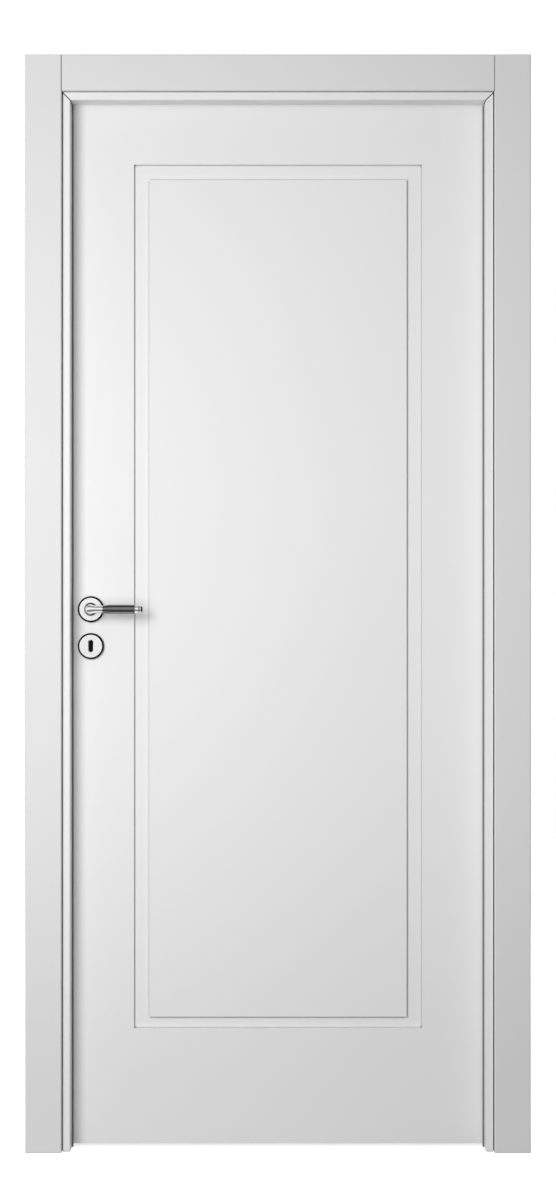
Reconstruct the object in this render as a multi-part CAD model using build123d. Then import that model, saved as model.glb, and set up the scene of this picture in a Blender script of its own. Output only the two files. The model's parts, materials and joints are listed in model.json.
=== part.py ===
from build123d import *
import os

# A one panel interior door set, seen in use from the side that it opens away from.
# +X points at the wall on the hinge side, +Y is the way the leaf opens, +Z is up.
# The origin is at floor level on the wall face of the hinge side jamb, at half its depth.
# All sizes are in millimetres.

# Leaf
LEAF_WIDTH = 825
LEAF_HEIGHT = 2040
LEAF_THICKNESS = 40
SKIN_THICKNESS = 9
HINGE_STILE_WIDTH = 45
LOCK_STILE_WIDTH = 95
TOP_RAIL_WIDTH = 60
BOTTOM_RAIL_WIDTH = 110
LEAF_ARRIS_RADIUS = 1.2

# Sunk band round the panel field, measured from the leaf's edges
BAND_SIDE_MARGIN = 131
BAND_TOP_MARGIN = 127
BAND_BOTTOM_MARGIN = 225
BAND_WIDTH = 30
BAND_BOTTOM_WIDTH = 22.5
BAND_DEPTH = 6
BAND_WALL_SLOPE = 0.4

# Gaps round the closed leaf
FLOOR_GAP = 6
SWING_CLEARANCE = 5
SEAL_GAP = 5
STOP_OVERLAP = 10
TOUCH_GAP = 0.3
FIT_GAP = 0.2

# Jambs
JAMB_THICKNESS = 35
JAMB_DEPTH = 90
JAMB_EDGE_RADIUS = 2
MITRE_EASE = 0.6

# Casings
CASING_WIDTH = 70
CASING_THICKNESS = 12
CASING_EDGE_RADIUS = 2.5
FRONT_REVEAL = 16
BACK_REVEAL = 8
TONGUE_THICKNESS = 5
TONGUE_LENGTH = 10
TONGUE_GROOVE_DEPTH = 12
TONGUE_GROOVE_WALL = 2
SIDE_SHADOW_GAP = 2
HEAD_SHADOW_GAP = 0.6
CASING_JOINT_GAP = 0.5

# Seals
SEAL_KERF_WIDTH = 3
SEAL_KERF_DEPTH = 8
SEAL_KERF_SETBACK = 4
SEAL_HEAD_WIDTH = 11
SEAL_SIDE_LIP = 3
SEAL_TOP_LIP = -1
SEAL_HEAD_RADIUS = 1.8
SEAL_STEM_GAP = 1

# Hinges
HINGE_NAMES = ("bottom", "middle", "top")
HINGE_HEIGHT = 100
HINGE_END_DISTANCE = 180
KNUCKLE_COUNT = 5
KNUCKLE_RADIUS = 7
KNUCKLE_CLEARANCE = 1
KNUCKLE_GAP = 0.6
PIN_RADIUS = 3.5
PIN_RUNNING_GAP = 0.06
PIN_CAP_HEIGHT = 4
PIN_CAP_CHAMFER = 1.5
HINGE_PLATE_THICKNESS = 2.5
HINGE_PLATE_WIDTH = 30
HINGE_CORNER_RADIUS = 8

# Lock
SPINDLE_HEIGHT = 1050
BACKSET = 47
KEY_DISTANCE = 72
LOCK_CASE_HEIGHT = 165
LOCK_CASE_THICKNESS = 15
LOCK_CASE_BEHIND_SPINDLE = 22
LOCK_CASE_ABOVE_SPINDLE = 42
FOREND_HEIGHT = 235
FOREND_WIDTH = 20
FOREND_THICKNESS = 3
ROUND_END_MARGIN = 0.01
LATCH_HEIGHT = 30
LATCH_WIDTH = 12
DEADBOLT_HEIGHT = 34
DEADBOLT_WIDTH = 11
LATCH_NOSE_LENGTH = 9
LATCH_TIP_WIDTH = 2.4
BOLT_LENGTH = 24
BOLT_SETBACK = 0.5
STRIKE_HEIGHT = 200
STRIKE_WIDTH = 24
STRIKE_THICKNESS = 2
STRIKE_CORNER_RADIUS = 4
STRIKE_LIP_HEIGHT = 60
STRIKE_POCKET_DEPTH = 12
STRIKE_POCKET_SIDE_GAP = 1
STRIKE_POCKET_END_GAP = 2

# Roses
ROSE_RADIUS = 25.5
ROSE_THICKNESS = 9
ROSE_BEVEL = 3.4
HUB_RADIUS = 12
HUB_HEIGHT = 13
HUB_CHAMFER = 1.2
HUB_GAP = 0.8
KEYHOLE_WIDTH = 9.5
KEYHOLE_HEIGHT = 24
KEYHOLE_HEAD_RADIUS = 5.2

# Levers, with radii and distances along the grip measured from the spindle
SPINDLE_SIDE = 8
LEVER_STANDOFF = 48
NECK_RADIUS = 9.5
WAIST_RADIUS = 7
WAIST_START = 14
GRIP_START = 26
GRIP_FULL = 38
GRIP_END = 88
GRIP_RADIUS = 9
GRIP_CHAMFER = 0.8
CORE_RADIUS = 5
COLLAR_RADIUS = 7.6
COLLAR_END = 96
COLLAR_CHAMFER = 0.6
CAP_GROOVE = 1.2
CAP_RADIUS = 6.4
CAP_SHOULDER = 3.2
CAP_DOME_RADIUS = 8
LEVER_REACH = 104

# The hinge axis stands clear of the leaf's back face by a knuckle
knuckle_offset = KNUCKLE_RADIUS + KNUCKLE_CLEARANCE

# The front corner of the lock edge swings out a little, so the gap round the leaf grows with it
edge_gap = SWING_CLEARANCE + (LEAF_THICKNESS + knuckle_offset) ** 2 / (2 * LEAF_WIDTH)

# Places across the door, from the hinge side to the lock side
passage_hinge_x = -JAMB_THICKNESS
leaf_hinge_x = passage_hinge_x + STOP_OVERLAP
leaf_lock_x = leaf_hinge_x - LEAF_WIDTH
passage_lock_x = leaf_lock_x + STOP_OVERLAP
frame_lock_x = passage_lock_x - JAMB_THICKNESS
frame_mid_x = frame_lock_x / 2
rebate_hinge_x = leaf_hinge_x + edge_gap
rebate_lock_x = leaf_lock_x - edge_gap
rebate_thickness = -rebate_hinge_x
mitre_length = JAMB_THICKNESS * 2**0.5

# Places up the door
leaf_bottom_z = FLOOR_GAP
leaf_top_z = leaf_bottom_z + LEAF_HEIGHT
passage_top_z = leaf_top_z - STOP_OVERLAP
frame_top_z = passage_top_z + JAMB_THICKNESS

# Places through the door, from the front to the back
jamb_front_y = -JAMB_DEPTH / 2
jamb_back_y = JAMB_DEPTH / 2
leaf_back_y = jamb_back_y
leaf_front_y = leaf_back_y - LEAF_THICKNESS
leaf_mid_y = (leaf_front_y + leaf_back_y) / 2
stop_y = leaf_front_y - SEAL_GAP

# Hinge axis and lock axes
hinge_x = leaf_hinge_x + edge_gap / 2
hinge_y = leaf_back_y + knuckle_offset
spindle_x = leaf_lock_x + BACKSET
key_z = SPINDLE_HEIGHT - KEY_DISTANCE
lock_mid_z = SPINDLE_HEIGHT + LOCK_CASE_ABOVE_SPINDLE - LOCK_CASE_HEIGHT / 2

# Distances from the wall face of a jamb, used in its section
front_casing_inner = JAMB_THICKNESS - FRONT_REVEAL
back_casing_inner = rebate_thickness - BACK_REVEAL
kerf_far = JAMB_THICKNESS - SEAL_KERF_SETBACK

# Cylinders stand on the plane z = 0 and are centred on the Z axis
STANDING = (Align.CENTER, Align.CENTER, Align.MIN)


def block(x_range, y_range, z_range):
    """A box given by its lowest and highest x, y and z."""
    size = [high - low for low, high in (x_range, y_range, z_range)]
    low_corner = (x_range[0], y_range[0], z_range[0])
    return Pos(*low_corner) * Box(*size, align=(Align.MIN, Align.MIN, Align.MIN))


def on_jambs(profile_points, radii=None):
    """Three lengths of one section round the frame, mitred at the two top corners.

    The section is a list of (distance from the wall face, y) points; radii rounds chosen corners.
    """
    outline = Polyline(*profile_points, close=True)
    section = make_face(outline)
    for corner, radius in (radii or {}).items():
        chosen = section.vertices().sort_by_distance((*corner, 0))[0]
        section = fillet(chosen, radius)
    upright = extrude(section, frame_top_z)
    hinge_side = mirror(upright, Plane.YZ)
    lock_side = Pos(frame_lock_x, 0, 0) * upright
    head = Rot(0, 90, 0) * extrude(section, -frame_lock_x)
    head = Pos(frame_lock_x, 0, frame_top_z) * head
    inside = mitre_wedge()
    return hinge_side - inside, lock_side - inside, head & inside


def mitre_wedge():
    """The space over the passage between the two mitre planes at the top corners."""
    reach = -frame_lock_x / 2
    points = [(frame_lock_x, frame_top_z), (0, frame_top_z), (frame_mid_x, frame_top_z - reach)]
    face = make_face(Plane.XZ * Polyline(*points, close=True))
    return extrude(face, JAMB_DEPTH, both=True)


def sides_and_head(side_set, head_set):
    """The two upright lengths of one section with the head length of another."""
    return side_set[0], side_set[1], head_set[2]


def mitre_ease(corner_x, towards):
    """A square bar along a mitre at the front face, which eases both pieces' edges into a V."""
    origin = (corner_x, jamb_front_y, frame_top_z)
    across = Plane(origin=origin, x_dir=(0, 1, 0), z_dir=(towards, 0, -1))
    section = across * Rectangle(2 * MITRE_EASE, 2 * MITRE_EASE, rotation=45)
    return extrude(section, mitre_length)


def section_box(near, far, y_low, y_high):
    """Corner points of a rectangle in a jamb's section."""
    return [(near, y_low), (far, y_low), (far, y_high), (near, y_high)]


def make_jambs():
    """Rebated jambs and head with a groove for each casing's tongue and a kerf for the seal."""
    points = [
        (0, jamb_front_y),
        (JAMB_THICKNESS, jamb_front_y),
        (JAMB_THICKNESS, stop_y),
        (rebate_thickness, stop_y),
        (rebate_thickness, jamb_back_y),
        (0, jamb_back_y),
    ]
    rounded = {
        points[1]: JAMB_EDGE_RADIUS,
        points[2]: JAMB_EDGE_RADIUS,
        points[4]: JAMB_EDGE_RADIUS,
    }
    jambs = on_jambs(points, rounded)
    kerf = section_box(kerf_far - SEAL_KERF_WIDTH, kerf_far, stop_y - SEAL_KERF_DEPTH, stop_y)
    grooves = [
        tongue_groove(front_casing_inner, jamb_front_y, 1),
        tongue_groove(back_casing_inner, jamb_back_y, -1),
        on_jambs(kerf),
    ]
    for groove in grooves:
        jambs = [jamb - cut for jamb, cut in zip(jambs, groove)]
    eases = mitre_ease(0, -1) + mitre_ease(frame_lock_x, 1)
    return [jamb - eases for jamb in jambs]


def tongue_thickness(casing_inner):
    """A casing's tongue is thinner where it laps a thin jamb, which keeps a wall behind it."""
    return min(TONGUE_THICKNESS, casing_inner - FIT_GAP - TONGUE_GROOVE_WALL)


def tongue_groove(casing_inner, face_y, inward):
    """The slot in a jamb's edge that takes a casing's tongue and leaves a thin shadow line.

    The line is wide beside the upright casings and nearly closed under the head casing.
    """
    near = casing_inner - tongue_thickness(casing_inner) - FIT_GAP
    y_range = sorted((face_y, face_y + inward * TONGUE_GROOVE_DEPTH))
    side = section_box(near, casing_inner + SIDE_SHADOW_GAP, *y_range)
    head = section_box(near, casing_inner + HEAD_SHADOW_GAP, *y_range)
    return sides_and_head(on_jambs(side), on_jambs(head))


def seal_head(lip):
    """The wide part of a seal, which stands past the stop's edge by its lip, and its round corners."""
    far = JAMB_THICKNESS + lip
    points = section_box(far - SEAL_HEAD_WIDTH, far, stop_y, leaf_front_y - TOUCH_GAP)
    return points, {corner: SEAL_HEAD_RADIUS for corner in points[1:]}


def make_seals():
    """Soft strips that the closed leaf rests on, each with a stem held in the jamb's kerf."""
    sides = on_jambs(*seal_head(SEAL_SIDE_LIP))
    strips = sides_and_head(sides, on_jambs(*seal_head(SEAL_TOP_LIP)))
    stem = section_box(
        kerf_far - SEAL_KERF_WIDTH + FIT_GAP,
        kerf_far - FIT_GAP,
        stop_y - SEAL_KERF_DEPTH + SEAL_STEM_GAP,
        stop_y,
    )
    return [strip + held for strip, held in zip(strips, on_jambs(stem))]


def make_casings(casing_inner, face_y, outward):
    """Two casings that run full height and a head casing that fits between them."""
    hinge_inner = -casing_inner
    lock_inner = frame_lock_x + casing_inner
    head_low = frame_top_z - casing_inner
    head_high = head_low + CASING_WIDTH
    y_range = sorted((face_y, face_y + outward * CASING_THICKNESS))
    tongue_y = sorted((face_y, face_y - outward * TONGUE_LENGTH))
    front_y = face_y + outward * CASING_THICKNESS
    tongue = tongue_thickness(casing_inner)
    tongue_top = head_low + tongue

    hinge = block((hinge_inner, hinge_inner + CASING_WIDTH), y_range, (0, head_high))
    hinge = fillet(outer_edges(hinge, front_y, Axis.Z), CASING_EDGE_RADIUS)
    hinge += block((hinge_inner, hinge_inner + tongue), tongue_y, (0, tongue_top))
    lock = block((lock_inner - CASING_WIDTH, lock_inner), y_range, (0, head_high))
    lock = fillet(outer_edges(lock, front_y, Axis.Z), CASING_EDGE_RADIUS)
    lock += block((lock_inner - tongue, lock_inner), tongue_y, (0, tongue_top))
    head_x = (lock_inner + CASING_JOINT_GAP, hinge_inner - CASING_JOINT_GAP)
    head = block(head_x, y_range, (head_low, head_high))
    head = fillet(outer_edges(head, front_y, Axis.X), CASING_EDGE_RADIUS)
    head += block(head_x, tongue_y, (head_low, tongue_top))
    return hinge, lock, head


def outer_edges(solid, face_y, axis):
    """The edges along an axis that bound a piece's face at y = face_y."""
    return [edge for edge in solid.edges().filter_by(axis) if abs(edge.center().Y - face_y) < 0.01]


def hinge_heights():
    """Mid heights of the hinges, spread evenly between the two outer ones."""
    low = leaf_bottom_z + HINGE_END_DISTANCE + HINGE_HEIGHT / 2
    high = leaf_top_z - HINGE_END_DISTANCE - HINGE_HEIGHT / 2
    step = (high - low) / (len(HINGE_NAMES) - 1)
    return [low + step * number for number in range(len(HINGE_NAMES))]


def hinge_plate(edge_x, inward, mid_z, grow=0):
    """A plate let in flush with an edge at edge_x, with round corners away from the knuckle."""
    y_low = leaf_back_y - HINGE_PLATE_WIDTH - grow
    z_low = mid_z - HINGE_HEIGHT / 2 - grow
    z_high = mid_z + HINGE_HEIGHT / 2 + grow
    x_range = sorted((edge_x, edge_x + inward * (HINGE_PLATE_THICKNESS + grow)))
    plate = block(x_range, (y_low, leaf_back_y), (z_low, z_high))
    corners = plate.edges().filter_by(Axis.X).group_by(Axis.Y)[0]
    return fillet(corners, HINGE_CORNER_RADIUS)


def knuckle_ranges(mid_z):
    """Heights of the knuckles of a hinge, from the lowest up."""
    part = HINGE_HEIGHT / KNUCKLE_COUNT
    low = mid_z - HINGE_HEIGHT / 2
    return [(low + part * number, low + part * (number + 1)) for number in range(KNUCKLE_COUNT)]


def knuckle(edge_x, inward, z_range):
    """A barrel on the hinge axis with the strap that joins it to its plate."""
    low = z_range[0] + KNUCKLE_GAP / 2
    height = z_range[1] - z_range[0] - KNUCKLE_GAP
    on_axis = Pos(hinge_x, hinge_y, low)
    barrel = on_axis * Cylinder(KNUCKLE_RADIUS, height, align=STANDING)
    x_range = sorted((edge_x, edge_x + inward * HINGE_PLATE_THICKNESS))
    barrel += block(x_range, (leaf_back_y, hinge_y), (low, low + height))
    return barrel - on_axis * Cylinder(PIN_RADIUS + PIN_RUNNING_GAP, height, align=STANDING)


def make_hinge(mid_z):
    """Jamb plate with the odd knuckles, leaf plate with the ones between, and the pin."""
    ranges = knuckle_ranges(mid_z)
    jamb_plate = hinge_plate(rebate_hinge_x, 1, mid_z)
    for z_range in ranges[0::2]:
        jamb_plate += knuckle(rebate_hinge_x, 1, z_range)
    leaf_plate = hinge_plate(leaf_hinge_x, -1, mid_z)
    for z_range in ranges[1::2]:
        leaf_plate += knuckle(leaf_hinge_x, -1, z_range)
    pin_low = mid_z - HINGE_HEIGHT / 2
    pin = Cylinder(PIN_RADIUS, HINGE_HEIGHT, align=STANDING)
    cap = Cylinder(KNUCKLE_RADIUS, PIN_CAP_HEIGHT, align=STANDING)
    cap = chamfer(cap.edges().group_by(Axis.Z)[-1], PIN_CAP_CHAMFER)
    pin += Pos(0, 0, HINGE_HEIGHT) * cap
    pin += Rot(180, 0, 0) * cap
    return jamb_plate, leaf_plate, Pos(hinge_x, hinge_y, pin_low) * pin


def along_y(shape):
    """Turns a shape built along +Z so that it points towards the viewer, along -Y."""
    return Rot(90, 0, 0) * shape


def keyhole_cut(y_low, y_high):
    """An upright slot with a slightly wider round head."""
    slot = SlotOverall(KEYHOLE_HEIGHT, KEYHOLE_WIDTH, rotation=90)
    head_rise = KEYHOLE_HEIGHT / 2 - KEYHOLE_WIDTH / 2
    slot += Pos(0, head_rise) * Circle(KEYHOLE_HEAD_RADIUS)
    cut = along_y(extrude(slot, y_high - y_low))
    return Pos(spindle_x, y_high, key_z) * cut


def hub_hole(y_low, y_high):
    """The round hole that a lever's hub turns in."""
    cut = along_y(Cylinder(HUB_RADIUS + HUB_GAP, y_high - y_low, align=STANDING))
    return Pos(spindle_x, y_high, SPINDLE_HEIGHT) * cut


def spindle_block(grow=0):
    half = SPINDLE_SIDE / 2 + grow
    return block(
        (spindle_x - half, spindle_x + half),
        (leaf_front_y, leaf_back_y),
        (SPINDLE_HEIGHT - half, SPINDLE_HEIGHT + half),
    )


def panel_rectangle(shrink_side, shrink_top, shrink_bottom, y):
    """A wire round the panel at depth y, drawn in from the band's outer edge."""
    x_low = leaf_lock_x + BAND_SIDE_MARGIN + shrink_side
    x_high = leaf_hinge_x - BAND_SIDE_MARGIN - shrink_side
    z_low = leaf_bottom_z + BAND_BOTTOM_MARGIN + shrink_bottom
    z_high = leaf_top_z - BAND_TOP_MARGIN - shrink_top
    corners = [(x_low, y, z_low), (x_high, y, z_low), (x_high, y, z_high), (x_low, y, z_high)]
    return make_face(Polyline(*corners, close=True))


def band_cut(face_y, inward):
    """The ring that is sunk into a skin round the raised panel field."""
    floor_y = face_y + inward * BAND_DEPTH
    slope = BAND_WALL_SLOPE
    outer = loft(
        [
            panel_rectangle(0, 0, 0, face_y),
            panel_rectangle(slope, slope, slope, floor_y),
        ]
    )
    field = loft(
        [
            panel_rectangle(BAND_WIDTH, BAND_WIDTH, BAND_BOTTOM_WIDTH, face_y),
            panel_rectangle(
                BAND_WIDTH - slope, BAND_WIDTH - slope, BAND_BOTTOM_WIDTH - slope, floor_y
            ),
        ]
    )
    return outer - field


def make_leaf():
    """Two milled skins on a frame of stiles and rails, with a core board between them."""
    inner_low = leaf_front_y + SKIN_THICKNESS
    inner_high = leaf_back_y - SKIN_THICKNESS
    x_range = (leaf_lock_x, leaf_hinge_x)
    z_range = (leaf_bottom_z, leaf_top_z)
    lock_stile_x = leaf_lock_x + LOCK_STILE_WIDTH
    hinge_stile_x = leaf_hinge_x - HINGE_STILE_WIDTH
    rail_x = (lock_stile_x, hinge_stile_x)
    bottom_rail_z = leaf_bottom_z + BOTTOM_RAIL_WIDTH
    top_rail_z = leaf_top_z - TOP_RAIL_WIDTH
    middle = (inner_low, inner_high)
    pieces = {
        "leaf_skin_front": block(x_range, (leaf_front_y, inner_low), z_range),
        "leaf_skin_back": block(x_range, (inner_high, leaf_back_y), z_range),
        "leaf_stile_lock": block((leaf_lock_x, lock_stile_x), middle, z_range),
        "leaf_stile_hinge": block((hinge_stile_x, leaf_hinge_x), middle, z_range),
        "leaf_rail_bottom": block(rail_x, middle, (leaf_bottom_z, bottom_rail_z)),
        "leaf_rail_top": block(rail_x, middle, (top_rail_z, leaf_top_z)),
        "leaf_core": block(rail_x, middle, (bottom_rail_z, top_rail_z)),
    }
    faces = {"leaf_skin_front": (leaf_front_y, 1), "leaf_skin_back": (leaf_back_y, -1)}
    for name, (face_y, inward) in faces.items():
        arrises = outer_edges(pieces[name], face_y, Axis.Z)
        pieces[name] = fillet(arrises, LEAF_ARRIS_RADIUS) - band_cut(face_y, inward)

    lock_cuts = lock_case_block(FIT_GAP) + forend_block(FIT_GAP)
    lock_cuts += keyhole_cut(leaf_front_y, leaf_back_y) + hub_hole(leaf_front_y, leaf_back_y)
    pieces["leaf_stile_lock"] -= lock_cuts
    for name in faces:
        pieces[name] -= lock_cuts
    for mid_z in hinge_heights():
        seat = hinge_plate(leaf_hinge_x, -1, mid_z, FIT_GAP)
        for name in ("leaf_stile_hinge", *faces):
            pieces[name] -= seat
    return pieces


def in_mid_plane(x_range, width, height, mid_z):
    """A block centred in the leaf's thickness, with its width across it and its height up it."""
    y_range = (leaf_mid_y - width / 2, leaf_mid_y + width / 2)
    return block(x_range, y_range, (mid_z - height / 2, mid_z + height / 2))


def lock_case_block(grow=0):
    x_low = leaf_lock_x + FOREND_THICKNESS
    x_high = spindle_x + LOCK_CASE_BEHIND_SPINDLE + grow
    width = LOCK_CASE_THICKNESS + 2 * grow
    height = LOCK_CASE_HEIGHT + 2 * grow
    return in_mid_plane((x_low, x_high), width, height, lock_mid_z)


def forend_block(grow=0):
    x_range = (leaf_lock_x, leaf_lock_x + FOREND_THICKNESS)
    width = FOREND_WIDTH + 2 * grow
    height = FOREND_HEIGHT + 2 * grow
    plate = in_mid_plane(x_range, width, height, lock_mid_z)
    return fillet(plate.edges().filter_by(Axis.X), width / 2 - ROUND_END_MARGIN)


def bolt_block(width, height, mid_z):
    """A bolt drawn back until its nose lies just inside the forend's face."""
    nose_x = leaf_lock_x + BOLT_SETBACK
    return in_mid_plane((nose_x, nose_x + BOLT_LENGTH), width, height, mid_z)


def bolt_room(width, height, mid_z):
    """The way that a bolt slides in, from the forend's face into the case."""
    x_range = (leaf_lock_x, leaf_lock_x + BOLT_SETBACK + BOLT_LENGTH + FIT_GAP)
    return in_mid_plane(x_range, width + 2 * FIT_GAP, height + 2 * FIT_GAP, mid_z)


def latch_bevel():
    """The corner taken off the latch's nose, on the side that meets the strike first."""
    nose_x = leaf_lock_x + BOLT_SETBACK
    low_y = leaf_mid_y - LATCH_WIDTH / 2
    tip_y = low_y + LATCH_WIDTH - LATCH_TIP_WIDTH
    points = [(nose_x, low_y), (nose_x + LATCH_NOSE_LENGTH, low_y), (nose_x, tip_y)]
    wedge = extrude(make_face(Polyline(*points, close=True)), LATCH_HEIGHT / 2, both=True)
    return Pos(0, 0, SPINDLE_HEIGHT) * wedge


def make_lock():
    """Mortice lock with its forend, and latch and dead bolt drawn back into the case."""
    latch = bolt_block(LATCH_WIDTH, LATCH_HEIGHT, SPINDLE_HEIGHT) - latch_bevel()
    dead = bolt_block(DEADBOLT_WIDTH, DEADBOLT_HEIGHT, key_z)
    rooms = bolt_room(LATCH_WIDTH, LATCH_HEIGHT, SPINDLE_HEIGHT)
    rooms += bolt_room(DEADBOLT_WIDTH, DEADBOLT_HEIGHT, key_z)
    case = lock_case_block() - rooms
    case -= keyhole_cut(leaf_front_y, leaf_back_y)
    follower = along_y(Cylinder(SPINDLE_SIDE, LOCK_CASE_THICKNESS))
    case -= Pos(spindle_x, leaf_mid_y, SPINDLE_HEIGHT) * follower
    forend = forend_block() - rooms
    return {
        "lock_case": case,
        "lock_forend": forend,
        "latch_bolt": latch,
        "dead_bolt": dead,
    }


def strike_block(grow=0):
    """A plate let in flush, with a tab beside the latch that reaches the jamb's back edge."""
    x_range = (rebate_lock_x - STRIKE_THICKNESS, rebate_lock_x)
    half_tab = STRIKE_LIP_HEIGHT / 2 + grow
    plate = in_mid_plane(x_range, STRIKE_WIDTH + 2 * grow, STRIKE_HEIGHT + 2 * grow, lock_mid_z)
    plate = fillet(plate.edges().filter_by(Axis.X), STRIKE_CORNER_RADIUS)
    tab_y = (leaf_mid_y, jamb_back_y - JAMB_EDGE_RADIUS + grow)
    return plate + block(x_range, tab_y, (SPINDLE_HEIGHT - half_tab, SPINDLE_HEIGHT + half_tab))


def strike_pocket(width, height, mid_z):
    """The hole that a thrown bolt enters, through the plate and into the jamb."""
    x_range = (rebate_lock_x - STRIKE_POCKET_DEPTH, rebate_lock_x)
    pocket_width = width + 2 * STRIKE_POCKET_SIDE_GAP
    pocket_height = height + 2 * STRIKE_POCKET_END_GAP
    return in_mid_plane(x_range, pocket_width, pocket_height, mid_z)


def strike_pockets():
    latch = strike_pocket(LATCH_WIDTH, LATCH_HEIGHT, SPINDLE_HEIGHT)
    dead = strike_pocket(DEADBOLT_WIDTH, DEADBOLT_HEIGHT, key_z)
    return latch + dead


def rose():
    """A flat round rose with a bevelled rim, built on the XY plane."""
    disc = Cylinder(ROSE_RADIUS, ROSE_THICKNESS, align=STANDING)
    return chamfer(disc.edges().group_by(Axis.Z)[-1], ROSE_BEVEL)


def turned(points, end_arc=None):
    """A solid turned about the grip's axis from (distance along it, radius) points."""
    closing = [(points[-1][0], 0), (points[0][0], 0), points[0]]
    line = Polyline(*points)
    if end_arc:
        line += end_arc
        closing[0] = end_arc @ 1
        outline = line + Polyline(*closing)
    else:
        outline = line + Polyline(points[-1], *closing)
    profile = make_face(Plane.XZ * outline)
    return Pos(0, 0, LEVER_STANDOFF) * revolve(profile, Axis.X)


def lever():
    """Hub, neck, waisted arm, and the core that carries the grip, the collar and the end cap."""
    hub = Cylinder(HUB_RADIUS, HUB_HEIGHT, align=STANDING)
    shape = chamfer(hub.edges().group_by(Axis.Z)[-1], HUB_CHAMFER)
    shape += Cylinder(NECK_RADIUS, LEVER_STANDOFF, align=STANDING)
    shape += Pos(0, 0, LEVER_STANDOFF) * Sphere(NECK_RADIUS)
    arm = turned([(0, NECK_RADIUS), (WAIST_START, WAIST_RADIUS), (GRIP_START, WAIST_RADIUS)])
    core = turned([(GRIP_START, CORE_RADIUS), (GRIP_END, CORE_RADIUS)])
    collar = turned(
        [
            (GRIP_END, COLLAR_RADIUS - COLLAR_CHAMFER),
            (GRIP_END + COLLAR_CHAMFER, COLLAR_RADIUS),
            (COLLAR_END - COLLAR_CHAMFER, COLLAR_RADIUS),
            (COLLAR_END, COLLAR_RADIUS - COLLAR_CHAMFER),
        ]
    )
    cap_start = COLLAR_END + CAP_GROOVE
    cap_shoulder = LEVER_REACH - CAP_SHOULDER
    groove = turned([(COLLAR_END, CORE_RADIUS), (cap_start, CORE_RADIUS)])
    dome = RadiusArc((cap_shoulder, CAP_RADIUS), (LEVER_REACH, 0), CAP_DOME_RADIUS)
    cap = turned([(cap_start, CAP_RADIUS), (cap_shoulder, CAP_RADIUS)], dome)
    for piece in (arm, core, collar, groove, cap):
        shape += piece
    return shape


def grip():
    """A dark sleeve that swells from the arm's waist and ends against the collar."""
    sleeve = turned(
        [
            (GRIP_START, WAIST_RADIUS),
            (GRIP_FULL, GRIP_RADIUS),
            (GRIP_END - GRIP_CHAMFER, GRIP_RADIUS),
            (GRIP_END, GRIP_RADIUS - GRIP_CHAMFER),
        ]
    )
    return sleeve - turned([(GRIP_START, CORE_RADIUS), (GRIP_END, CORE_RADIUS)])


def make_handle_set():
    """Roses fixed on both faces of the leaf, and two levers that share one square spindle."""
    front = Pos(spindle_x, leaf_front_y, SPINDLE_HEIGHT)
    key_front = Pos(spindle_x, leaf_front_y, key_z)
    rose_face_y = leaf_front_y - ROSE_THICKNESS
    front_pieces = {
        "handle_rose": front * along_y(rose()) - hub_hole(rose_face_y, leaf_front_y),
        "key_rose": key_front * along_y(rose()) - keyhole_cut(rose_face_y, leaf_front_y),
        "lever": front * along_y(lever()),
        "lever_grip": front * along_y(grip()),
    }
    pieces = {"handle_spindle": spindle_block()}
    to_back = Plane.XZ.offset(-leaf_mid_y)
    for name, piece in front_pieces.items():
        pieces[name + "_front"] = piece
        pieces[name + "_back"] = mirror(piece, to_back)
    return pieces


def main():
    pieces = make_leaf()
    pieces.update(make_lock())
    pieces.update(make_handle_set())

    sides = ("hinge_side", "lock_side", "head")
    jambs = dict(zip(sides, make_jambs()))
    for side, seal in zip(sides, make_seals()):
        pieces["seal_" + side] = seal
    front = make_casings(front_casing_inner, jamb_front_y, -1)
    back = make_casings(back_casing_inner, jamb_back_y, 1)
    for side, front_casing, back_casing in zip(sides, front, back):
        pieces["casing_front_" + side] = front_casing
        pieces["casing_back_" + side] = back_casing

    for name, mid_z in zip(HINGE_NAMES, hinge_heights()):
        jamb_plate, leaf_plate, pin = make_hinge(mid_z)
        pieces["hinge_" + name + "_jamb_plate"] = jamb_plate
        pieces["hinge_" + name + "_leaf_plate"] = leaf_plate
        pieces["hinge_" + name + "_pin"] = pin
        jambs["hinge_side"] -= hinge_plate(rebate_hinge_x, 1, mid_z, FIT_GAP)

    pockets = strike_pockets()
    pieces["strike_plate"] = strike_block() - pockets
    jambs["lock_side"] -= strike_block(FIT_GAP) + pockets
    for side, jamb in jambs.items():
        pieces["jamb_" + side] = jamb

    os.makedirs("parts", exist_ok=True)
    for name, piece in pieces.items():
        export_step(piece, os.path.join("parts", name + ".step"))


main()
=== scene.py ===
import json
import math

import bmesh
import bpy
from mathutils import Matrix, Vector


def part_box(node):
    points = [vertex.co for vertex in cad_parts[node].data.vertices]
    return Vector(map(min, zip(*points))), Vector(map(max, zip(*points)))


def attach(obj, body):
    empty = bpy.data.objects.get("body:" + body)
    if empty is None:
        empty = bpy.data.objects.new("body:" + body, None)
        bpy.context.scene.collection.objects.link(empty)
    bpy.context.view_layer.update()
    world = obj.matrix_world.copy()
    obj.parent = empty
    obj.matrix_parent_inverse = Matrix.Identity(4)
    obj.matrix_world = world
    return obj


# A white one panel interior door set, lit by two soft studio lights from the left in front, and by
# a third one from behind for views of its back.
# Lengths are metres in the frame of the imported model: +X to the hinge side, +Y away from the
# viewer, which is the way the leaf opens, and +Z up.

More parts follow.
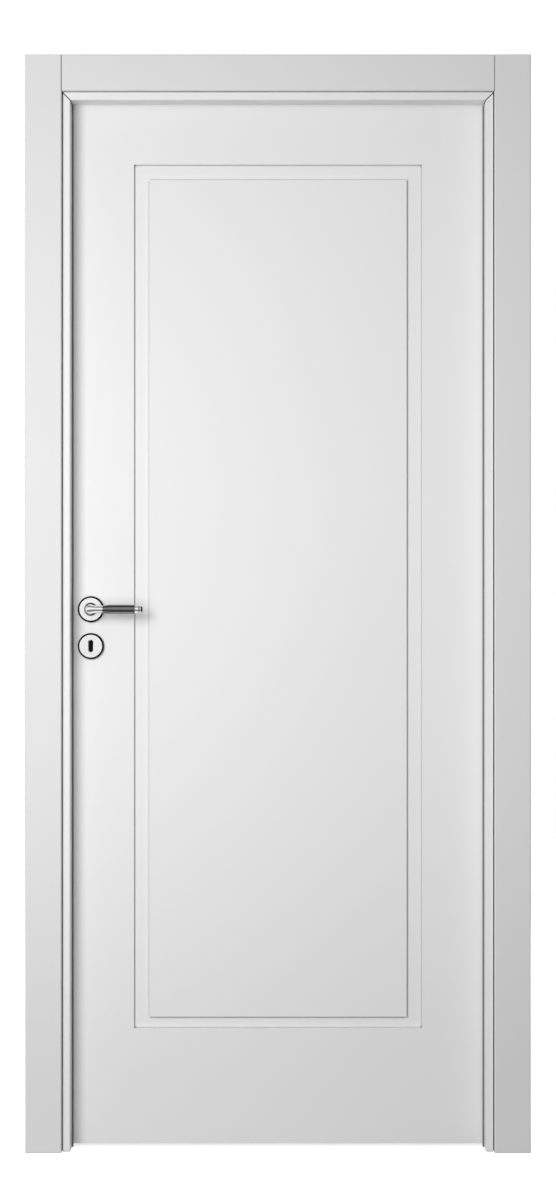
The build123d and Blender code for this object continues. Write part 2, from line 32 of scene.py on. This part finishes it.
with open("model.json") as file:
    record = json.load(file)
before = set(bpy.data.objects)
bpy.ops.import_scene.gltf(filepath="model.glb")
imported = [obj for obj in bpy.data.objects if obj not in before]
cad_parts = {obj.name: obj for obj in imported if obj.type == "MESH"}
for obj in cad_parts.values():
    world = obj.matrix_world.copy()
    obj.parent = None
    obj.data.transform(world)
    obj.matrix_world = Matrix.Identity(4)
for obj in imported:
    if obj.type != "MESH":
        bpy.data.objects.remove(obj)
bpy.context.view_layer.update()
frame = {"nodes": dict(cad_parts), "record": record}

# Camera, as far from the door as the photograph's perspective asks
CAMERA_PLACE = (-0.4375, -5.257, 1.070)
FOCAL_LENGTH = 80.9
SENSOR_WIDTH = 36

# Softboxes, which reflections don't show: name, place, the point that it faces, side length, watts
SOFTBOXES = (
    ("key_softbox", (-1.70, -2.47, 1.76), (-0.45, 0.0, 1.2), 1.0, 29.0),
    ("low_softbox", (-1.10, -2.20, 1.0), (-0.45, 0.0, 0.8), 1.5, 26.5),
    ("rear_softbox", (1.20, 3.00, 2.0), (-0.45, 0.0, 1.1), 1.6, 75.0),
)
AMBIENT_STRENGTH = 0.32

# Floor: what it gives back to the object, and how it looks itself
FLOOR_SIZE = 14.0
FLOOR_BOUNCE = 0.05
FLOOR_SEEN_COLOUR = 0.8
FLOOR_SEEN_GLOW = 0.75

# Dark flags that only gloss reflects: name, centre, size along X, Y and Z.
# The one below leaves a pale strip of floor along the foot of the door.
FLAGS = (
    ("flag_above", (-0.4, 1.35, 3.4), (5.0, 6.3, 0.0)),
    ("flag_below", (-0.4, -3.5, 0.001), (6.0, 6.1, 0.0)),
)
FLAG_COLOUR = 0.18

# The part of a noise texture's range that its values mostly fill
NOISE_SPAN = (0.3, 0.7)

# Places of a Mix node's colour sockets among its inputs and outputs
MIX_FACTOR = 0
MIX_COLOURS = (6, 7)
MIX_RESULT = 2

# Lacquer, a little greyer on the casings as painted shade, and painted dark where little light gets in,
# as painted shade in corners, joints and grooves. The occlusion span runs from the share of open sky
# at which the dark starts to the one at which it is full.
LACQUER_LIGHT = 0.87
LACQUER_DARK = 0.85
CASING_SHADE_SHARE = 0.90
LACQUER_ROUGHNESS = (0.34, 0.43)
OCCLUSION_SPAN = (0.85, 0.4)
BAND_CORNER_REACH = 0.006
BAND_CORNER_SHADE_COLOUR = 0.35
# Painted shade in the joints and grooves of the casings and jambs: its reach and colour
JOINT_SHADE_REACH = 0.003
JOINT_SHADE_COLOUR = 0.04
# A hairline of painted shade along the mitres of the head: its half width and colour
MITRE_HALF_WIDTH = 0.0013
MITRE_SHADE_COLOUR = 0.02

# Nickel, bright on flat faces, with painted dark reflection on its rims and painted shade in its grooves
# and holes. The edge span holds the cosines to the Y axis between which a surface turns from a bright
# face into a painted dark rim.
NICKEL_LIGHT = 0.95
NICKEL_SOFT = 0.9
NICKEL_SHADE_AND_REFLECTION = 0.015
EDGE_SPAN = (0.9, 0.8)

# Lever hubs: how far they stand out from the leaf, how far past that still counts as the hub, and
# the radius at which their dark rim of painted shade and reflection starts
HUB_HEIGHT = 0.013
HUB_SLACK = 0.0004
HUB_LINE_RADIUS = 0.0099

# Painted dark lines round the lever's end, by distance from the spindle: shade in the cap's groove and a
# reflection on its rounded edge
GROOVE_SHADE_LINE = (0.0956, 0.0975)
CAP_REFLECTION_LINE = (0.1002, 0.1034)

# How far the rebate's face lies behind the jamb's passage face, and how far the middle of a hinge
# plate's flat part lies from its front edge
JAMB_REBATE_DEPTH = 0.0164
HINGE_PLATE_MIDDLE = 0.014

# Cross head screws, which stand a little proud of the plate that they hold
SCREW_RADIUS = 0.0037
SCREW_HEIGHT = 0.0008
SCREW_BEVEL = 0.0004
SCREW_SINK = 0.0003
RECESS_DEPTH = 0.00065
RECESS_TAPER = 0.7
CROSS_ARM = 0.0021
CROSS_HALF_WIDTH = 0.00042
CROSS_RIM_STEPS = 2
FIRST_TURN = 0.4
TURN_STEP = 1.1
FOREND_SCREW_SPREAD = 0.105
STRIKE_SCREW_SPREAD = 0.088

# Hinge screws: height above the plate's middle, and stagger along Y
HINGE_SCREWS = ((-0.038, 0.005), (-0.013, -0.005), (0.013, -0.005), (0.038, 0.005))

# Set screws under the levers' necks
NECK_RADIUS = 0.0095
GRUB_RADIUS = 0.0023
GRUB_SOCKET = 0.0013
GRUB_STANDOFF = 0.022
GRUB_RIM_STEPS = 4
GRUB_TURN = 0.3

# Lever plates of the lock, which close the view through the keyhole. The free edge of each has a
# belly, a wave that shifts from plate to plate.
LEVER_PLATE_COUNT = 5
LEVER_PLATE_THICKNESS = 0.0018
LEVER_PLATE_PITCH = 0.003
LEVER_PLATE_HALF_WIDTH = 0.0046
LEVER_PLATE_HALF_HEIGHT = 0.0118
ARC_STEPS = 6
BELLY_REACH = 0.001
BELLY_SWELL = 0.0006
BELLY_MARGIN = 0.00092
BELLY_STEPS = 10
BELLY_WAVE = 3
BELLY_PHASE_STEP = 1.3


def middle_of(node):
    low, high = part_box(node)
    return (low + high) / 2


# Places that the frame gives
leaf_low, leaf_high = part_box("leaf_skin_front")[0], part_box("leaf_skin_back")[1]
LEAF_MIDDLE = (leaf_low.y + leaf_high.y) / 2
HUB_FRONT = (leaf_high.y - leaf_low.y) / 2 + HUB_HEIGHT
SPINDLE = middle_of("handle_spindle")
head_low, head_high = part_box("jamb_head")
FRAME_MIDDLE_X = (head_low.x + head_high.x) / 2
FRAME_HALF_WIDTH = (head_high.x - head_low.x) / 2
FRAME_TOP = head_high.z


def grey(value):
    return (value, value, value, 1.0)


def link_to_scene(thing):
    bpy.context.scene.collection.objects.link(thing)
    return thing


def make_camera():
    data = bpy.data.cameras.new("photo_camera")
    data.sensor_width = SENSOR_WIDTH
    data.lens = FOCAL_LENGTH
    camera = link_to_scene(bpy.data.objects.new("photo_camera", data))
    camera.location = CAMERA_PLACE
    camera.rotation_euler = (math.radians(90), 0, 0)
    bpy.context.scene.camera = camera


def make_softboxes():
    for name, place, aim, side, watts in SOFTBOXES:
        data = bpy.data.lights.new(name, "AREA")
        data.shape = "SQUARE"
        data.size = side
        data.energy = watts
        lamp = link_to_scene(bpy.data.objects.new(name, data))
        lamp.location = place
        lamp.visible_glossy = False
        towards = Vector(aim) - Vector(place)
        lamp.rotation_euler = towards.to_track_quat("-Z", "Y").to_euler()


def seen_directly(tree):
    """A factor of 1 for camera, glossy and transmission rays, and 0 for light on surfaces."""
    path = tree.nodes.new("ShaderNodeLightPath")
    seen = path.outputs["Is Camera Ray"]
    for name in ("Is Glossy Ray", "Is Transmission Ray"):
        either = tree.nodes.new("ShaderNodeMath")
        either.operation = "MAXIMUM"
        tree.links.new(seen, either.inputs[0])
        tree.links.new(path.outputs[name], either.inputs[1])
        seen = either.outputs[0]
    return seen


def make_world():
    """White where it is seen, and a plain soft light on everything else."""
    world = bpy.data.worlds.new("studio")
    world.use_nodes = True
    tree = world.node_tree
    tree.nodes.clear()
    light = tree.nodes.new("ShaderNodeBackground")
    light.inputs["Strength"].default_value = AMBIENT_STRENGTH
    light.inputs["Color"].default_value = grey(1.0)
    white = tree.nodes.new("ShaderNodeBackground")
    white.inputs["Strength"].default_value = 1.0
    white.inputs["Color"].default_value = grey(1.0)
    mix = tree.nodes.new("ShaderNodeMixShader")
    out = tree.nodes.new("ShaderNodeOutputWorld")
    tree.links.new(seen_directly(tree), mix.inputs["Fac"])
    tree.links.new(light.outputs[0], mix.inputs[1])
    tree.links.new(white.outputs[0], mix.inputs[2])
    tree.links.new(mix.outputs[0], out.inputs["Surface"])
    bpy.context.scene.world = world


def flat_piece(name, centre, size, material):
    """A rectangle whose size is 0 along the axis that it faces."""
    spans = [axis for axis in range(3) if size[axis] > 0]
    corners = []
    for first, second in ((-1, -1), (1, -1), (1, 1), (-1, 1)):
        corner = list(centre)
        corner[spans[0]] += first * size[spans[0]] / 2
        corner[spans[1]] += second * size[spans[1]] / 2
        corners.append(corner)
    mesh = bpy.data.meshes.new(name)
    mesh.from_pydata(corners, [], [(0, 1, 2, 3)])
    piece = link_to_scene(bpy.data.objects.new(name, mesh))
    mesh.materials.append(material)
    return piece


def floor_material():
    """White to the eye apart from shadows, and nearly black for the light that it gives back."""
    material = bpy.data.materials.new("studio_floor")
    material.use_nodes = True
    tree = material.node_tree
    tree.nodes.clear()
    bounce = tree.nodes.new("ShaderNodeBsdfDiffuse")
    bounce.inputs["Color"].default_value = grey(FLOOR_BOUNCE)
    lit = tree.nodes.new("ShaderNodeBsdfDiffuse")
    lit.inputs["Color"].default_value = grey(FLOOR_SEEN_COLOUR)
    glow = tree.nodes.new("ShaderNodeEmission")
    glow.inputs["Strength"].default_value = FLOOR_SEEN_GLOW
    seen = tree.nodes.new("ShaderNodeAddShader")
    mix = tree.nodes.new("ShaderNodeMixShader")
    out = tree.nodes.new("ShaderNodeOutputMaterial")
    tree.links.new(lit.outputs[0], seen.inputs[0])
    tree.links.new(glow.outputs[0], seen.inputs[1])
    tree.links.new(seen_directly(tree), mix.inputs["Fac"])
    tree.links.new(bounce.outputs[0], mix.inputs[1])
    tree.links.new(seen.outputs[0], mix.inputs[2])
    tree.links.new(mix.outputs[0], out.inputs["Surface"])
    return material


def make_floor():
    middle = (CAMERA_PLACE[0], 0.0, 0.0)
    flat_piece("studio_floor", middle, (FLOOR_SIZE, FLOOR_SIZE, 0.0), floor_material())


def make_flags():
    material = bpy.data.materials.new("flag_cloth")
    material.use_nodes = True
    shader = material.node_tree.nodes["Principled BSDF"]
    shader.inputs["Base Color"].default_value = grey(FLAG_COLOUR)
    shader.inputs["Roughness"].default_value = 1.0
    shader.inputs["Specular IOR Level"].default_value = 0.0
    for name, centre, size in FLAGS:
        flag = flat_piece(name, centre, size, material)
        flag.visible_camera = False
        flag.visible_diffuse = False
        flag.visible_shadow = False
        flag.visible_transmission = False


class Shader:
    """A material with one Principled shader and short ways to drive its sockets."""

    def __init__(self, name, **values):
        self.material = bpy.data.materials.new(name)
        self.material.use_nodes = True
        self.tree = self.material.node_tree
        self.surface = self.tree.nodes["Principled BSDF"]
        for socket, value in values.items():
            self.surface.inputs[socket.replace("_", " ")].default_value = value
        self.coords = self.tree.nodes.new("ShaderNodeTexCoord")
        self.place = self.coords.outputs["Object"]

    def node(self, kind, **settings):
        made = self.tree.nodes.new(kind)
        for name, value in settings.items():
            setattr(made, name, value)
        return made

    def link(self, output, node, socket):
        self.tree.links.new(output, node.inputs[socket])

    def stretched(self, scale):
        mapping = self.node("ShaderNodeMapping")
        mapping.inputs["Scale"].default_value = scale
        self.link(self.place, mapping, "Vector")
        return mapping.outputs["Vector"]

    def noise(self, scale, detail=2.0, where=None):
        made = self.node("ShaderNodeTexNoise")
        made.inputs["Scale"].default_value = scale
        made.inputs["Detail"].default_value = detail
        self.link(where or self.place, made, "Vector")
        return made.outputs["Fac"]

    def ranged(self, value, low, high, to_low=0.0, to_high=1.0):
        made = self.node("ShaderNodeMapRange")
        ends = {"From Min": low, "From Max": high, "To Min": to_low, "To Max": to_high}
        for socket, number in ends.items():
            made.inputs[socket].default_value = number
        self.link(value, made, "Value")
        return made.outputs["Result"]

    def uneven(self, scale, ends, detail=2.0, where=None):
        """A value that wanders between the two ends over the surface."""
        return self.ranged(self.noise(scale, detail, where), *NOISE_SPAN, *ends)

    def between(self, value, ends):
        """1 where the value lies between the two ends, and 0 elsewhere."""
        above = self.math("GREATER_THAN", value, ends[0])
        return self.math("MULTIPLY", above, self.math("LESS_THAN", value, ends[1]))

    def math(self, operation, first, second=0.0):
        made = self.node("ShaderNodeMath", operation=operation)
        for socket, value in enumerate((first, second)):
            if isinstance(value, (int, float)):
                made.inputs[socket].default_value = value
            else:
                self.tree.links.new(value, made.inputs[socket])
        return made.outputs[0]

    def mixed(self, factor, first, second):
        made = self.node("ShaderNodeMix", data_type="RGBA")
        self.link(factor, made, MIX_FACTOR)
        for socket, colour in zip(MIX_COLOURS, (first, second)):
            if isinstance(colour, tuple):
                made.inputs[socket].default_value = colour
            else:
                self.tree.links.new(colour, made.inputs[socket])
        return made.outputs[MIX_RESULT]

    def axis(self, letter):
        split = self.node("ShaderNodeSeparateXYZ")
        self.link(self.place, split, "Vector")
        return split.outputs[letter]

    def distance_from(self, letter, value):
        return self.math("ABSOLUTE", self.math("SUBTRACT", self.axis(letter), value))

    def radius_about(self, point):
        """The distance from a line through the point along Y."""
        across = self.math("POWER", self.distance_from("X", point.x), 2.0)
        upward = self.math("POWER", self.distance_from("Z", point.z), 2.0)
        return self.math("SQRT", self.math("ADD", across, upward))

    def closed_in(self, reach, only_local):
        """The mask of painted shade: 0 on open faces, rising in corners and joints, of this node alone or
        beside others.
        """
        made = self.node("ShaderNodeAmbientOcclusion", only_local=only_local)
        made.inputs["Distance"].default_value = reach
        return self.ranged(made.outputs["AO"], *OCCLUSION_SPAN)

    def edge_factor(self):
        """1 where the surface turns away from the Y axis and 0 on faces square to it."""
        split = self.node("ShaderNodeSeparateXYZ")
        self.link(self.coords.outputs["Normal"], split, "Vector")
        facing = self.math("ABSOLUTE", split.outputs["Y"])
        return self.ranged(facing, *EDGE_SPAN)

    def bump(self, height, strength, distance):
        made = self.node("ShaderNodeBump")
        made.inputs["Strength"].default_value = strength
        made.inputs["Distance"].default_value = distance
        self.link(height, made, "Height")
        self.link(made.outputs["Normal"], self.surface, "Normal")

    def colour(self, output):
        self.link(output, self.surface, "Base Color")

    def roughness(self, output):
        self.link(output, self.surface, "Roughness")


def lacquer(name, share=1.0):
    """White satin lacquer, sprayed, with a trace of orange peel and a slightly uneven sheen."""
    shader = Shader(name, Specular_IOR_Level=0.5)
    light = grey(LACQUER_LIGHT * share)
    dark = grey(LACQUER_DARK * share)
    paint = shader.mixed(shader.noise(scale=2.2, detail=3.0), light, dark)
    shader.colour(paint)
    shader.roughness(shader.uneven(scale=9.0, ends=LACQUER_ROUGHNESS, detail=3.0))
    shader.bump(shader.noise(scale=650.0, detail=2.0), strength=0.06, distance=0.0004)
    return shader, paint


def painted_wood():
    return lacquer("painted_wood")[0].material


def painted_casing():
    """The casings, a little greyer than the leaf as painted shade, with painted shade in their joints,
    which take in no light.
    """
    shader, paint = lacquer("painted_casing", CASING_SHADE_SHARE)
    shader.colour(shader.mixed(shader.closed_in(JOINT_SHADE_REACH, False), paint, grey(JOINT_SHADE_COLOUR)))
    return shader.material


def painted_skin():
    """The leaf's skins, darker in the corners of the milled band, where little light gets in."""
    shader, paint = lacquer("painted_skin")
    corner = shader.closed_in(BAND_CORNER_REACH, True)
    shader.colour(shader.mixed(corner, paint, grey(BAND_CORNER_SHADE_COLOUR)))
    return shader.material


def painted_jamb():
    """The jambs, with painted shade in their joints and grooves, and a hairline of painted shade along
    the opened mitres.
    """
    shader, paint = lacquer("painted_jamb")
    across = shader.distance_from("X", FRAME_MIDDLE_X)
    rise = shader.math("SUBTRACT", shader.axis("Z"), FRAME_TOP - FRAME_HALF_WIDTH)
    off_mitre = shader.math("ABSOLUTE", shader.math("SUBTRACT", across, rise))
    line = shader.math("LESS_THAN", off_mitre, MITRE_HALF_WIDTH)
    shaded = shader.mixed(shader.closed_in(JOINT_SHADE_REACH, False), paint, grey(JOINT_SHADE_COLOUR))
    shader.colour(shader.mixed(line, shaded, grey(MITRE_SHADE_COLOUR)))
    return shader.material


def core_board():
    """Raw particle board, pale chips in a browner ground."""
    shader = Shader("core_board", Roughness=0.85)
    chips = shader.node("ShaderNodeTexVoronoi", feature="F1")
    chips.inputs["Scale"].default_value = 260.0
    shader.link(shader.stretched((1.0, 1.0, 0.55)), chips, "Vector")
    pale, brown = (0.66, 0.54, 0.39, 1.0), (0.47, 0.36, 0.24, 1.0)
    shader.colour(shader.mixed(chips.outputs["Distance"], pale, brown))
    shader.bump(chips.outputs["Distance"], strength=0.3, distance=0.0006)
    return shader.material


def seal_rubber():
    """Matt extruded rubber, dark grey."""
    shader = Shader("seal_rubber", Specular_IOR_Level=0.3)
    shader.colour(shader.mixed(shader.noise(scale=40.0), grey(0.21), grey(0.17)))
    shader.roughness(shader.uneven(scale=120.0, ends=(0.6, 0.72)))
    shader.bump(shader.noise(scale=1500.0), strength=0.1, distance=0.0002)
    return shader.material


def satin_nickel():
    """Bright on flat faces, with a painted dark reflection on the rims and painted shade on the walls of
    holes.
    """
    shader = Shader("satin_nickel", Metallic=1.0)
    bright = shader.mixed(shader.noise(scale=60.0), grey(NICKEL_LIGHT), grey(NICKEL_SOFT))
    shader.colour(shader.mixed(shader.edge_factor(), bright, grey(NICKEL_SHADE_AND_REFLECTION)))
    shader.roughness(shader.uneven(scale=300.0, ends=(0.2, 0.26)))
    shader.bump(shader.noise(scale=2500.0), strength=0.05, distance=0.0001)
    return shader.material


def lever_nickel():
    """The same finish on the lever, with painted shade and reflection as dark lines round its hub, its
    cap's groove and its end.
    """
    shader = Shader("lever_nickel", Metallic=1.0)
    bright = shader.mixed(shader.noise(scale=60.0), grey(NICKEL_LIGHT), grey(NICKEL_SOFT))
    reach = shader.distance_from("Y", LEAF_MIDDLE)
    on_hub = shader.math("LESS_THAN", reach, HUB_FRONT + HUB_SLACK)
    rim = shader.math("GREATER_THAN", shader.radius_about(SPINDLE), HUB_LINE_RADIUS)
    dark = shader.math("MULTIPLY", on_hub, shader.math("MAXIMUM", shader.edge_factor(), rim))
    along = shader.math("SUBTRACT", shader.axis("X"), SPINDLE.x)
    for ends in (GROOVE_SHADE_LINE, CAP_REFLECTION_LINE):
        dark = shader.math("MAXIMUM", dark, shader.between(along, ends))
    shader.colour(shader.mixed(dark, bright, grey(NICKEL_SHADE_AND_REFLECTION)))
    shader.roughness(shader.uneven(scale=300.0, ends=(0.26, 0.34)))
    return shader.material


def dark_chrome():
    """The grips' polished dark plating."""
    shader = Shader("dark_chrome", Metallic=1.0)
    shader.colour(shader.mixed(shader.noise(scale=80.0), grey(0.2), grey(0.17)))
    shader.roughness(shader.uneven(scale=200.0, ends=(0.12, 0.18)))
    return shader.material


def satin_steel():
    """Hinges, spindle and lock case, with a fine upright brushing."""
    shader = Shader("satin_steel", Metallic=1.0)
    along = shader.stretched((1.0, 1.0, 0.04))
    shader.colour(shader.mixed(shader.noise(scale=900.0, where=along), grey(0.64), grey(0.54)))
    shader.roughness(shader.uneven(scale=700.0, ends=(0.3, 0.42), where=along))
    shader.bump(shader.noise(scale=1200.0, where=along), strength=0.08, distance=0.0001)
    return shader.material


def bright_steel():
    """Forend, strike plate, bolts and hinge pins, smoother and brighter than the hinges."""
    shader = Shader("bright_steel", Metallic=1.0)
    along = shader.stretched((1.0, 1.0, 0.05))
    shader.colour(shader.mixed(shader.noise(scale=900.0, where=along), grey(0.72), grey(0.64)))
    shader.roughness(shader.uneven(scale=500.0, ends=(0.18, 0.28), where=along))
    return shader.material


def lever_plate_shade():
    """Steel lever plates inside the lock, coloured nearly black as painted shade, since little light
    reaches them.
    """
    shader = Shader("lever_plate_shade", Metallic=1.0, Roughness=0.45)
    shader.colour(shader.mixed(shader.noise(scale=400.0), grey(0.03), grey(0.015)))
    return shader.material


def screw_steel():
    """Plated screws, slightly mottled."""
    shader = Shader("screw_steel", Metallic=1.0)
    shader.colour(shader.mixed(shader.noise(scale=500.0), grey(0.7), grey(0.58)))
    shader.roughness(shader.uneven(scale=900.0, ends=(0.2, 0.32)))
    shader.bump(shader.noise(scale=2500.0), strength=0.1, distance=0.0001)
    return shader.material


def dress_nodes():
    makers = (painted_wood, core_board, seal_rubber, satin_nickel, dark_chrome, satin_steel, bright_steel)
    materials = {make.__name__: make() for make in makers}
    lever = lever_nickel()
    special = {
        "casing": painted_casing(),
        "leaf_skin": painted_skin(),
        "jamb": painted_jamb(),
        "lever_front": lever,
        "lever_back": lever,
    }
    for row in frame["record"]["subparts"]:
        node = row["node"]
        finish = materials[row["material_slot"]]
        for start in special:
            if node.startswith(start):
                finish = special[start]
        mesh = frame["nodes"][node].data
        mesh.materials.clear()
        mesh.materials.append(finish)


def mesh_piece(name, shell, material, body):
    """Turns a bmesh into a piece that rides on a body and takes the given finish."""
    bmesh.ops.recalc_face_normals(shell, faces=shell.faces)
    mesh = bpy.data.meshes.new(name)
    shell.to_mesh(mesh)
    shell.free()
    mesh.materials.append(material)
    piece = link_to_scene(bpy.data.objects.new(name, mesh))
    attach(piece, body)


def turned_about(points, turn):
    spin = Matrix.Rotation(turn, 2)
    return [spin @ Vector(point) for point in points]


def cross_outline():
    """The outline of a cross recess, anticlockwise."""
    wide, long = CROSS_HALF_WIDTH, CROSS_ARM
    corner = [(long, wide), (wide, wide), (wide, long)]
    return [point for quarter in range(4) for point in turned_about(corner, quarter * math.pi / 2)]


def hexagon_outline():
    return [turned_about([(GRUB_SOCKET, 0.0)], side * math.pi / 3)[0] for side in range(6)]


def bridge(shell, low, high):
    """Joins two closed rings of as many corners by a band of four sided faces."""
    for n in range(len(low)):
        after = (n + 1) % len(low)
        shell.faces.new((low[n], low[after], high[after], high[n]))


def add_head(shell, place, outward, radius, recess, rim_steps):
    """Adds a flat round head with a bevelled rim and a sunk recess of the given outline."""
    facing = Matrix.Translation(place) @ outward.to_track_quat("Z", "Y").to_matrix().to_4x4()

    def ring(points, height):
        return [shell.verts.new(facing @ Vector((*point, height))) for point in points]

    angles = [math.atan2(point.y, point.x) for point in recess]
    rim = []
    for start, end in zip(angles, angles[1:] + angles[:1]):
        step = ((end - start) % math.tau) / rim_steps
        rim += [(math.cos(start + step * n), math.sin(start + step * n)) for n in range(rim_steps)]
    foot = ring([(x * radius, y * radius) for x, y in rim], -SCREW_SINK)
    inner = radius - SCREW_BEVEL
    edge = ring([(x * radius, y * radius) for x, y in rim], SCREW_HEIGHT - SCREW_BEVEL)
    top = ring([(x * inner, y * inner) for x, y in rim], SCREW_HEIGHT)
    mouth = ring(recess, SCREW_HEIGHT)
    floor = ring([point * RECESS_TAPER for point in recess], SCREW_HEIGHT - RECESS_DEPTH)
    for low, high in ((foot, edge), (edge, top), (mouth, floor)):
        bridge(shell, low, high)
    for n in range(len(mouth)):
        arc = [top[(n * rim_steps + step) % len(top)] for step in range(rim_steps + 1)]
        shell.faces.new([mouth[n]] + arc + [mouth[(n + 1) % len(mouth)]])
    shell.faces.new(floor)
    shell.faces.new(list(reversed(foot)))


def hinge_plate_face(side):
    """The x of a hinge plate's visible face, which looks across the gap at the other plate."""
    if side < 0:
        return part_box("jamb_hinge_side")[0].x + JAMB_REBATE_DEPTH
    return leaf_high.x


def make_screws(material):
    """Cross head screws in the hinge plates, the forend and the strike plate."""
    rows = []
    for level in ("bottom", "middle", "top"):
        for kind, side, body in (("jamb_plate", -1, "door_frame"), ("leaf_plate", 1, "leaf")):
            plate = "hinge_%s_%s" % (level, kind)
            x = hinge_plate_face(side)
            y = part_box(plate)[0].y + HINGE_PLATE_MIDDLE
            z = middle_of(plate).z
            places = [(x, y + stagger, z + height) for height, stagger in HINGE_SCREWS]
            rows.append((plate, side, body, "satin_steel", places))
    for node, side, body, spread in (
        ("lock_forend", -1, "leaf", FOREND_SCREW_SPREAD),
        ("strike_plate", 1, "door_frame", STRIKE_SCREW_SPREAD),
    ):
        low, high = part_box(node)
        face_x = low.x if side < 0 else high.x
        middle = (low + high) / 2
        places = [(face_x, LEAF_MIDDLE, middle.z + way * spread) for way in (-1, 1)]
        rows.append((node, side, body, "bright_steel", places))
    for node, side, body, slot, places in rows:
        shell = bmesh.new()
        for number, place in enumerate(places):
            turn = FIRST_TURN + TURN_STEP * number
            outward = Vector((side, 0, 0))
            recess = turned_about(cross_outline(), turn)
            add_head(shell, Vector(place), outward, SCREW_RADIUS, recess, CROSS_RIM_STEPS)
        mesh_piece(node + "_screws", shell, material, body)


def make_grub_screws(material):
    """A set screw with a hexagon socket under the neck of each lever."""
    for side, out in (("front", -1), ("back", 1)):
        surface_y = leaf_low.y if out < 0 else leaf_high.y
        place = Vector((SPINDLE.x, surface_y + out * GRUB_STANDOFF, SPINDLE.z - NECK_RADIUS))
        shell = bmesh.new()
        recess = turned_about(hexagon_outline(), GRUB_TURN)
        add_head(shell, place, Vector((0, 0, -1)), GRUB_RADIUS, recess, GRUB_RIM_STEPS)
        mesh_piece("lever_%s_grub_screw" % side, shell, material, "handle")


def plate_outline(side, phase):
    """Half of the keyhole's shape, closed by the belly a little past its middle."""
    quarter = math.pi / 2
    straight = LEVER_PLATE_HALF_HEIGHT - LEVER_PLATE_HALF_WIDTH
    points = []
    for start, rise in ((quarter, straight), (2 * quarter, -straight)):
        for step in range(ARC_STEPS + 1):
            angle = start + quarter * step / ARC_STEPS
            x = LEVER_PLATE_HALF_WIDTH * math.cos(angle)
            points.append((x, rise + LEVER_PLATE_HALF_WIDTH * math.sin(angle)))
    belly_end = LEVER_PLATE_HALF_HEIGHT - BELLY_MARGIN
    for step in range(1, BELLY_STEPS):
        z = belly_end * (2 * step / BELLY_STEPS - 1)
        wave = math.cos(BELLY_WAVE * z / LEVER_PLATE_HALF_HEIGHT + phase)
        points.append((BELLY_REACH + BELLY_SWELL * wave, z))
    return [(-side * x, z) for x, z in points]


def make_lever_plates(material):
    """The lock's stack of lever plates, seen through the keyhole, lapping from both sides."""
    centre = middle_of("key_rose_front")
    for number in range(LEVER_PLATE_COUNT):
        middle_y = LEAF_MIDDLE + (number - (LEVER_PLATE_COUNT - 1) / 2) * LEVER_PLATE_PITCH
        outline = plate_outline(1 if number % 2 else -1, BELLY_PHASE_STEP * number)
        shell = bmesh.new()
        faces = []
        for y in (middle_y - LEVER_PLATE_THICKNESS / 2, middle_y + LEVER_PLATE_THICKNESS / 2):
            faces.append([shell.verts.new((centre.x + x, y, centre.z + z)) for x, z in outline])
            shell.faces.new(faces[-1])
        bridge(shell, *faces)
        mesh_piece("lock_lever_plate_%d" % (number + 1), shell, material, "leaf")


bpy.context.scene.view_settings.view_transform = "Standard"
make_camera()
make_softboxes()
make_world()
make_floor()
make_flags()
dress_nodes()
screw_finish = screw_steel()
make_screws(screw_finish)
make_grub_screws(screw_finish)
make_lever_plates(lever_plate_shade())
